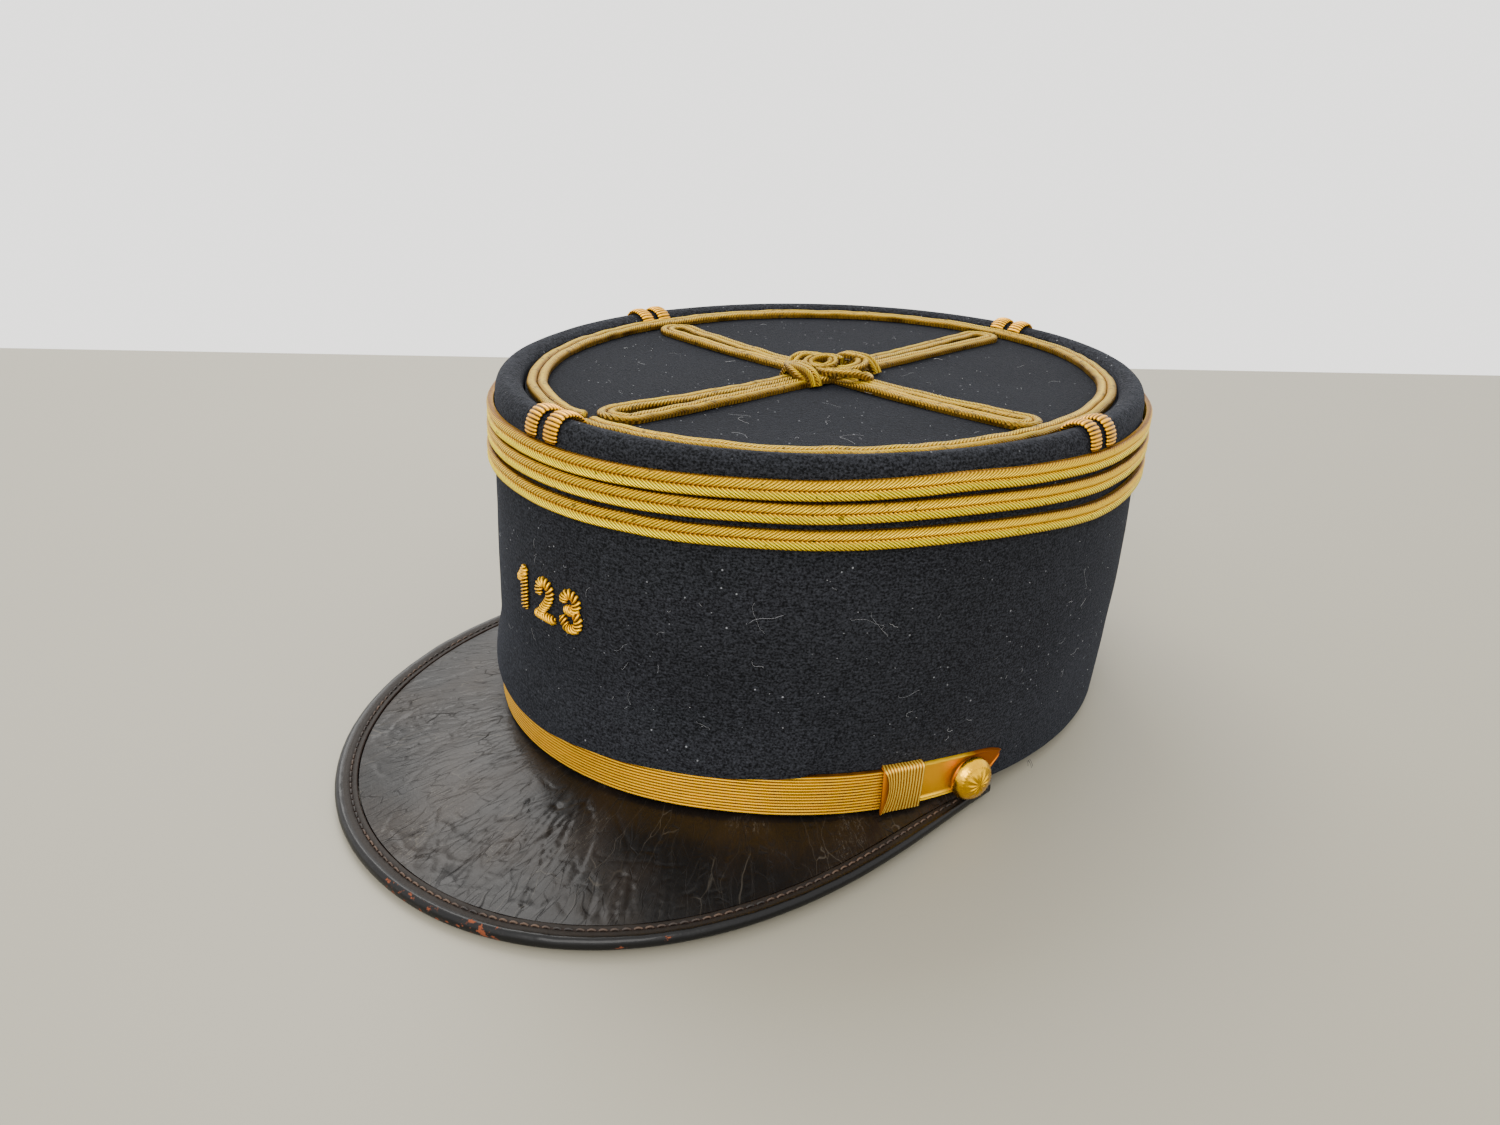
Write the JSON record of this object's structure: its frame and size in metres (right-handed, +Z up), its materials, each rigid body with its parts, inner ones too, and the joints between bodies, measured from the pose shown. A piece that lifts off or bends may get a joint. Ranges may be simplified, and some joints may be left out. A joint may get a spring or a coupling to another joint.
{
  "type": "kepi cap",
  "caption": "Tall oval cloth crown with gold rank braids and a braided knot on its sunken top, a curved leather peak with a rolled edge, a gold strap across the front and domed buttons.",
  "frame": {"origin": "centre of the bounding box on the table that the cap rests on", "axes": "+Z up, the peak towards -Y, the wearer's left towards +X, at rest on the rear of the crown's lower edge and on the tip of the peak"},
  "size_m": [0.1774, 0.263, 0.1049],
  "materials": {
    "navy_cloth": "dark blue-black wool twill",
    "gold_braid": "gold thread braid with two ridges",
    "worn_gold_cord": "worn gold thread wound closely round a cord",
    "gold_knot": "gold thread braid with two ridges, a little dull",
    "black_leather": "black varnished leather with fine cracks",
    "binding_leather": "black rolled leather, glossy and chipped",
    "gold_strap": "ochre gold thread ribbon with fine ribs",
    "tab_leather": "golden brown leather",
    "gilt_button": "polished gilt",
    "bullion": "padded gold thread"
  },
  "bodies": {
    "root": {"chin_strap": "gold_strap", "crown_side": "navy_cloth", "crown_top": "navy_cloth", "knot_arm_back": "gold_knot", "knot_arm_front": "gold_knot", "knot_arm_left": "gold_knot", "knot_arm_right": "gold_knot", "knot_centre": "gold_knot", "numeral_1": "bullion", "numeral_2": "bullion", "numeral_3": "bullion", "peak": "black_leather", "peak_binding": "binding_leather", "rank_braid_1": "gold_braid", "rank_braid_2": "gold_braid", "rank_braid_3": "gold_braid", "rim_cord_back_1": "worn_gold_cord", "rim_cord_back_2": "worn_gold_cord", "rim_cord_front_1": "worn_gold_cord", "rim_cord_front_2": "worn_gold_cord", "rim_cord_left_1": "worn_gold_cord", "rim_cord_left_2": "worn_gold_cord", "rim_cord_right_1": "worn_gold_cord", "rim_cord_right_2": "worn_gold_cord", "side_button_left": "gilt_button", "side_button_right": "gilt_button", "strap_keeper_left": "gold_strap", "strap_keeper_right": "gold_strap", "strap_tab_left": "tab_leather", "strap_tab_right": "tab_leather", "top_ring_braid": "gold_knot"}
  },
  "joints": []
}
